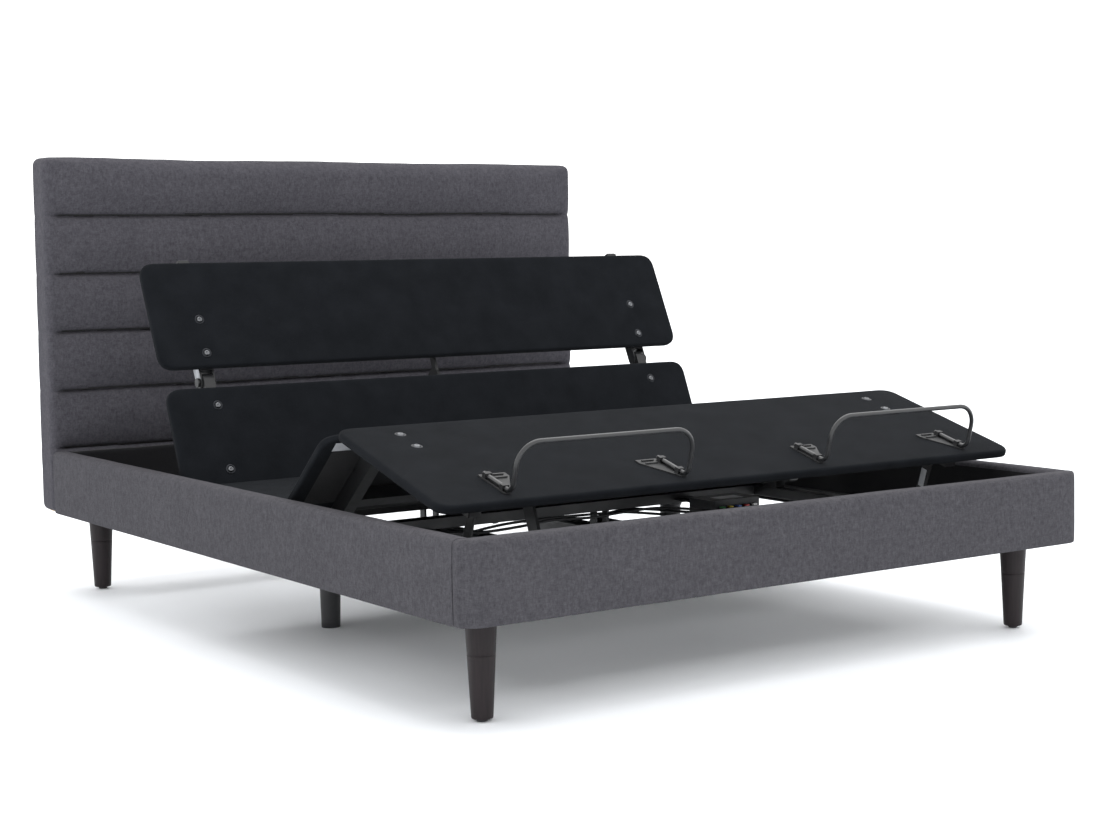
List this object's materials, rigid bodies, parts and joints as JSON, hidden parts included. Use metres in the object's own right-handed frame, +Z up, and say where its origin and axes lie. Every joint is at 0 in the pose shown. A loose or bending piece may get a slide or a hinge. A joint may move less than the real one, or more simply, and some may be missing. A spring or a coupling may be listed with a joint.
{
  "type": "adjustable bed base",
  "caption": "Upholstered platform bed with channelled headboard and a powered steel base whose back, pillow, thigh and calf panels lift.",
  "frame": {"origin": "on the floor, under the middle of the whole bed", "axes": "+Z up, +Y from the foot towards the headboard, +X to the right seen from the foot"},
  "size_m": [1.65, 2.166, 1.137],
  "materials": {
    "rail_board": "plain board",
    "headboard_fabric": "woven charcoal upholstery with sewn channels",
    "rail_fabric": "woven charcoal upholstery",
    "black_cloth": "thin black dust cloth",
    "espresso_wood": "dark stained, satin lacquer",
    "glide_plastic": "moulded",
    "black_plastic": "moulded, fine texture",
    "black_steel": "black powder coat",
    "zinc_steel": "zinc plated",
    "deck_fabric": "black knitted deck cloth over board",
    "bolt_chrome": "plated domed heads",
    "housing_plastic": "moulded",
    "motor_can": "satin black",
    "lead_rubber": "black jacket",
    "rod_chrome": "drawn rod",
    "retainer_steel": "satin dark grey"
  },
  "bodies": {
    "root": {"headboard_board": "rail_board", "headboard_cover": "headboard_fabric", "headboard_back_cloth": "black_cloth", "side_rail_board_left": "rail_board", "side_rail_board_right": "rail_board", "foot_rail_board": "rail_board", "head_rail": "black_cloth", "side_rail_cover_left": "rail_fabric", "side_rail_cover_right": "rail_fabric", "foot_rail_cover": "rail_fabric", "corner_brackets": "black_steel", "corner_bolts": "zinc_steel", "leg_blocks": "espresso_wood", "leg_front_left": "espresso_wood", "leg_front_right": "espresso_wood", "leg_rear_left": "espresso_wood", "leg_rear_right": "espresso_wood", "leg_glides": "glide_plastic", "side_cleats": "black_steel", "cross_beams": "black_steel", "base_side_tubes": "black_steel", "base_cross_tubes": "black_steel", "seat_frame": "black_steel", "seat_hinge_plates": "zinc_steel", "seat_panel": "deck_fabric", "hinge_bolts": "zinc_steel", "middle_legs": "black_plastic", "control_box": "housing_plastic", "power_supply": "housing_plastic", "head_actuator_body": "housing_plastic", "head_actuator_motor": "motor_can", "foot_actuator_body": "housing_plastic", "foot_actuator_motor": "motor_can", "head_lead": "lead_rubber", "foot_lead": "lead_rubber", "frame_lead": "lead_rubber", "link_brackets": "black_steel"},
    "back_section": {"back_frame": "black_steel", "back_panel": "deck_fabric", "back_panel_bolts": "bolt_chrome", "pillow_actuator_body": "housing_plastic", "pillow_actuator_motor": "motor_can", "pillow_lead": "lead_rubber"},
    "pillow_section": {"pillow_hinge_bolts": "black_steel", "pillow_frame": "black_steel", "pillow_panel": "deck_fabric", "pillow_panel_bolts": "bolt_chrome"},
    "thigh_section": {"thigh_frame": "black_steel", "thigh_panel": "deck_fabric", "thigh_panel_bolts": "bolt_chrome"},
    "calf_section": {"knee_bolts": "black_steel", "calf_frame": "black_steel", "calf_panel": "deck_fabric", "calf_panel_bolts": "bolt_chrome", "retainer_bars": "retainer_steel", "retainer_brackets": "retainer_steel"},
    "calf_links": {"calf_links": "black_steel"},
    "head_actuator_rod": {"head_actuator_rod": "rod_chrome"},
    "foot_actuator_rod": {"foot_actuator_rod": "rod_chrome"},
    "pillow_actuator_rod": {"pillow_actuator_rod": "rod_chrome"}
  },
  "joints": [
    {"name": "back_lift", "type": "hinge", "parent": "root", "child": "back_section", "pos_m": [0, 0.295, 0.3], "axis": [1, 0, 0], "range_deg": [-66.9, 0]},
    {"name": "pillow_tilt", "type": "hinge", "parent": "back_section", "child": "pillow_section", "pos_m": [0, 0.40996, 0.56951], "axis": [1, 0, 0], "range_deg": [0, 38]},
    {"name": "thigh_lift", "type": "hinge", "parent": "root", "child": "thigh_section", "pos_m": [0, -0.252, 0.3], "axis": [-1, 0, 0], "range_deg": [-41, 0]},
    {"name": "calf_fold", "type": "hinge", "parent": "thigh_section", "child": "calf_section", "pos_m": [0, -0.47162, 0.49091], "axis": [1, 0, 0], "range_deg": [-56.81, 0]},
    {"name": "calf_link_swing", "type": "hinge", "parent": "root", "child": "calf_links", "pos_m": [0, -0.74, 0.262], "axis": [-1, 0, 0], "range_deg": [-57.82, 0]},
    {"name": "head_rod_slide", "type": "slide", "parent": "root", "child": "head_actuator_rod", "axis": [0, 1, 0], "range_m": [-0.1613, 0]},
    {"name": "foot_rod_slide", "type": "slide", "parent": "root", "child": "foot_actuator_rod", "axis": [0, -1, 0], "range_m": [-0.0913, 0]},
    {"name": "pillow_rod_slide", "type": "slide", "parent": "back_section", "child": "pillow_actuator_rod", "axis": [0, 0.3923, 0.9198], "range_m": [0, 0.0483]}
  ],
  "couplings": [
    {"joint": "calf_fold", "follows": "thigh_lift", "ratio": 1.3854},
    {"joint": "calf_link_swing", "follows": "thigh_lift", "ratio": 1.41},
    {"joint": "head_rod_slide", "follows": "back_lift", "m_per_rad": 0.138},
    {"joint": "foot_rod_slide", "follows": "thigh_lift", "m_per_rad": 0.1275},
    {"joint": "pillow_rod_slide", "follows": "pillow_tilt", "m_per_rad": 0.0727}
  ]
}
